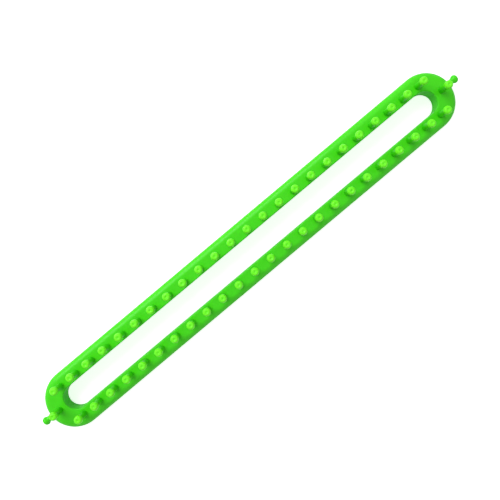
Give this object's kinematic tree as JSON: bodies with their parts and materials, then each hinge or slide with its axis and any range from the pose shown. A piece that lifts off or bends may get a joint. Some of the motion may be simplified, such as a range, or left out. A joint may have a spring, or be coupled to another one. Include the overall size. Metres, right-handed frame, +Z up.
{
  "type": "knitting loom",
  "caption": "Long oval knitting loom: a slotted ring frame with grooved upright pegs all round and a short anchor peg on each end.",
  "frame": {"origin": "middle of the loom, on the surface its underside rests on", "axes": "+X along the loom and its slot, +Y across it from the front rail to the back rail, +Z up along the pegs"},
  "size_m": [0.458, 0.0506, 0.0323],
  "materials": {
    "frame_plastic": "smooth, satin to glossy",
    "peg_plastic": "smooth, glossy"
  },
  "bodies": {
    "root": {"frame": "frame_plastic", "peg_back_01": "peg_plastic", "peg_back_02": "peg_plastic", "peg_back_03": "peg_plastic", "peg_back_04": "peg_plastic", "peg_back_05": "peg_plastic", "peg_back_06": "peg_plastic", "peg_back_07": "peg_plastic", "peg_back_08": "peg_plastic", "peg_back_09": "peg_plastic", "peg_back_10": "peg_plastic", "peg_back_11": "peg_plastic", "peg_back_12": "peg_plastic", "peg_back_13": "peg_plastic", "peg_back_14": "peg_plastic", "peg_back_15": "peg_plastic", "peg_back_16": "peg_plastic", "peg_back_17": "peg_plastic", "peg_back_18": "peg_plastic", "peg_back_19": "peg_plastic", "peg_back_20": "peg_plastic", "peg_back_21": "peg_plastic", "peg_back_22": "peg_plastic", "peg_back_23": "peg_plastic", "peg_back_24": "peg_plastic", "peg_front_01": "peg_plastic", "peg_front_02": "peg_plastic", "peg_front_03": "peg_plastic", "peg_front_04": "peg_plastic", "peg_front_05": "peg_plastic", "peg_front_06": "peg_plastic", "peg_front_07": "peg_plastic", "peg_front_08": "peg_plastic", "peg_front_09": "peg_plastic", "peg_front_10": "peg_plastic", "peg_front_11": "peg_plastic", "peg_front_12": "peg_plastic", "peg_front_13": "peg_plastic", "peg_front_14": "peg_plastic", "peg_front_15": "peg_plastic", "peg_front_16": "peg_plastic", "peg_front_17": "peg_plastic", "peg_front_18": "peg_plastic", "peg_front_19": "peg_plastic", "peg_front_20": "peg_plastic", "peg_front_21": "peg_plastic", "peg_front_22": "peg_plastic", "peg_front_23": "peg_plastic", "peg_front_24": "peg_plastic", "peg_end_left": "peg_plastic", "peg_end_right": "peg_plastic", "anchor_peg_left": "peg_plastic", "anchor_peg_right": "peg_plastic"}
  },
  "joints": []
}
